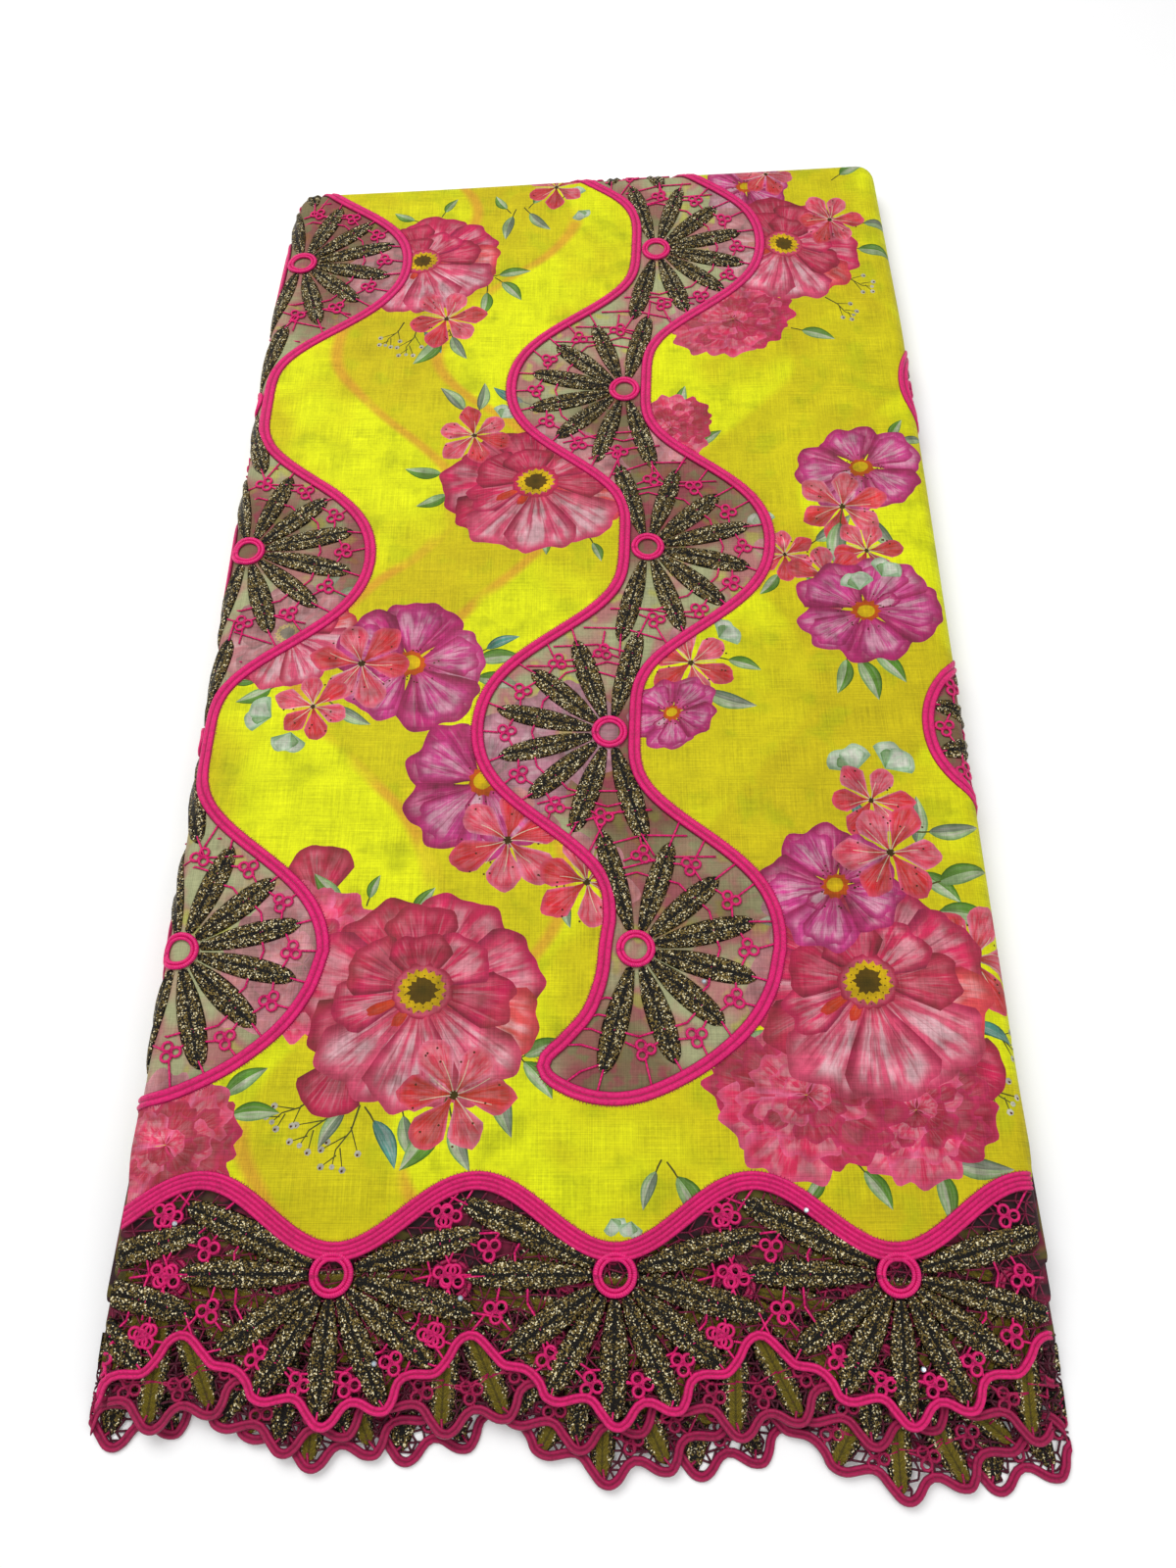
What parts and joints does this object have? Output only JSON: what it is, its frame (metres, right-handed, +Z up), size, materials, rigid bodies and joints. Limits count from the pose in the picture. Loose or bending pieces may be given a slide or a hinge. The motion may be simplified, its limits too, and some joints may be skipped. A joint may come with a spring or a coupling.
{
  "type": "folded length of voile fabric with cutwork lace",
  "caption": "Folded packet of printed voile with curving cutwork lace bands and scalloped lace selvedges, lying flat.",
  "frame": {"origin": "middle of the box, on the surface that the packet lies on", "axes": "+Z up, +Y from the scalloped selvedges towards the far fold, +X to the right as seen from the scallops"},
  "size_m": [0.3756, 0.7209, 0.0234],
  "materials": {
    "voile": "printed plain-weave voile, faint silky sheen",
    "hidden_plies": "stacked folds of the same voile",
    "band_lace": "cutwork lace, pink satin cords and petals of black and gold metallic yarn",
    "border_lace": "scalloped cutwork lace, pink satin cords and petals of black and gold metallic yarn"
  },
  "bodies": {
    "root": {"hidden_layers": "hidden_plies", "top_voile": "voile", "band_left": "band_lace", "band_middle": "band_lace", "band_right_near": "band_lace", "band_right_far": "band_lace", "border_1": "border_lace", "border_2": "border_lace", "border_3": "border_lace", "border_4": "border_lace", "border_5": "border_lace"}
  },
  "joints": []
}
